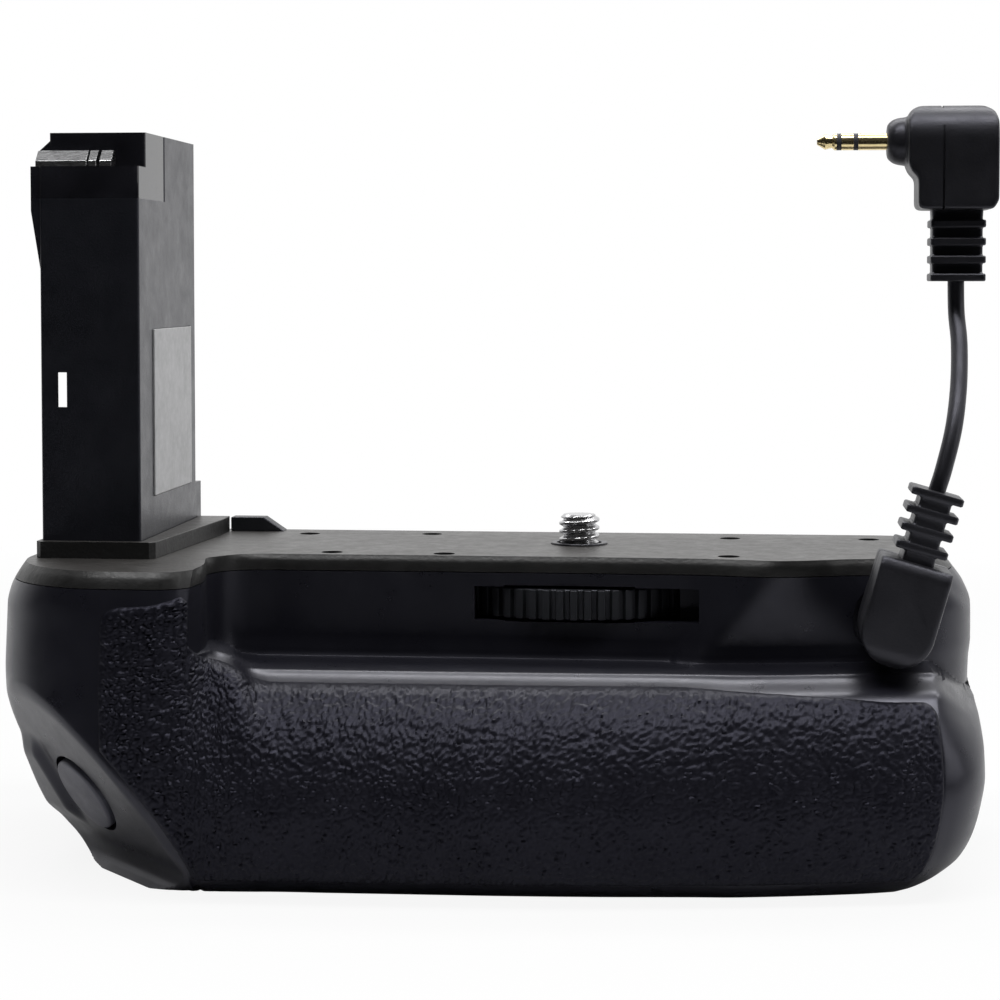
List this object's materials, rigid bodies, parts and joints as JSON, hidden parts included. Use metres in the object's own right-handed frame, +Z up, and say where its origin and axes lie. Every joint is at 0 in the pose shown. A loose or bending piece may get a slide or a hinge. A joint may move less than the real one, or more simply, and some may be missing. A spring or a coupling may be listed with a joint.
{
  "type": "camera battery grip",
  "caption": "Vertical camera grip with a battery-shaped column, screw thumbwheel, rubber front, shutter button, rear battery door and a short patch cord with right-angle plugs.",
  "frame": {"origin": "under the middle of the body, on the surface it stands on", "axes": "+X to the right end as seen from the front, +Y to the rear battery door, +Z up the battery column"},
  "size_m": [0.1463, 0.0743, 0.1137],
  "materials": {
    "housing": "satin moulded",
    "plate": "fine grain",
    "grip_rubber": "pebbled",
    "button": "satin",
    "inner_plastic": "matt",
    "silicone": "matt",
    "wheel": "matt",
    "steel": "turned",
    "dark_steel": "blackened",
    "column": "fine matt",
    "contact_block": "glossy",
    "gold": "gold plated",
    "label": "bare printed film",
    "board": "solder mask",
    "cable": "smooth moulded"
  },
  "bodies": {
    "housing": {"front_housing": "housing", "rear_housing": "housing", "top_plate": "plate", "grip_rubber": "grip_rubber", "shutter_switch": "inner_plastic", "button_dome": "silicone", "wheel_washer": "inner_plastic", "screw_bushing": "dark_steel", "tripod_socket": "steel", "column_shell": "column", "contact_block": "contact_block", "column_cap": "column", "column_contacts": "steel", "column_label": "label", "column_collar": "plate", "rear_tab": "wheel", "plate_screws": "dark_steel", "base_screws": "dark_steel", "battery_cradle": "inner_plastic", "bay_contacts": "gold", "hinge_pin": "steel", "main_board": "board", "jack_socket": "inner_plastic", "power_switch_body": "inner_plastic"},
    "wheel": {"thumbwheel": "wheel", "tripod_screw": "steel"},
    "button": {"shutter_button": "button"},
    "door": {"battery_door": "housing"},
    "latch": {"door_latch": "button"},
    "power_switch": {"power_switch_knob": "button"},
    "patch_cord": {"lower_plug_body": "cable", "lower_plug_pin": "gold", "lower_relief": "cable", "cord": "cable", "upper_relief": "cable", "upper_plug_body": "cable", "upper_plug_pin": "gold", "upper_plug_rings": "inner_plastic"}
  },
  "joints": [
    {"name": "wheel_turn", "type": "hinge", "parent": "housing", "child": "wheel", "pos_m": [0.0115, 0.013, 0.03925], "axis": [0, 0, 1], "continuous": true},
    {"name": "button_press", "type": "slide", "parent": "housing", "child": "button", "axis": [0.6479, 0.5612, 0.515], "range_m": [0, 0.0012], "stiffness_N_per_m": 800, "deforming": ["button_dome"]},
    {"name": "door_swing", "type": "hinge", "parent": "housing", "child": "door", "pos_m": [0, 0.0349, 0.01], "axis": [-1, 0, 0], "range_deg": [0, 90]},
    {"name": "latch_slide", "type": "slide", "parent": "door", "child": "latch", "axis": [0, 0, 1], "range_m": [0, 0.0025]},
    {"name": "switch_slide", "type": "slide", "parent": "housing", "child": "power_switch", "axis": [1, 0, 0], "range_m": [0, 0.004]},
    {"name": "cord_unplug", "type": "slide", "parent": "housing", "child": "patch_cord", "axis": [0, -1, 0], "range_m": [0, 0.015]}
  ]
}
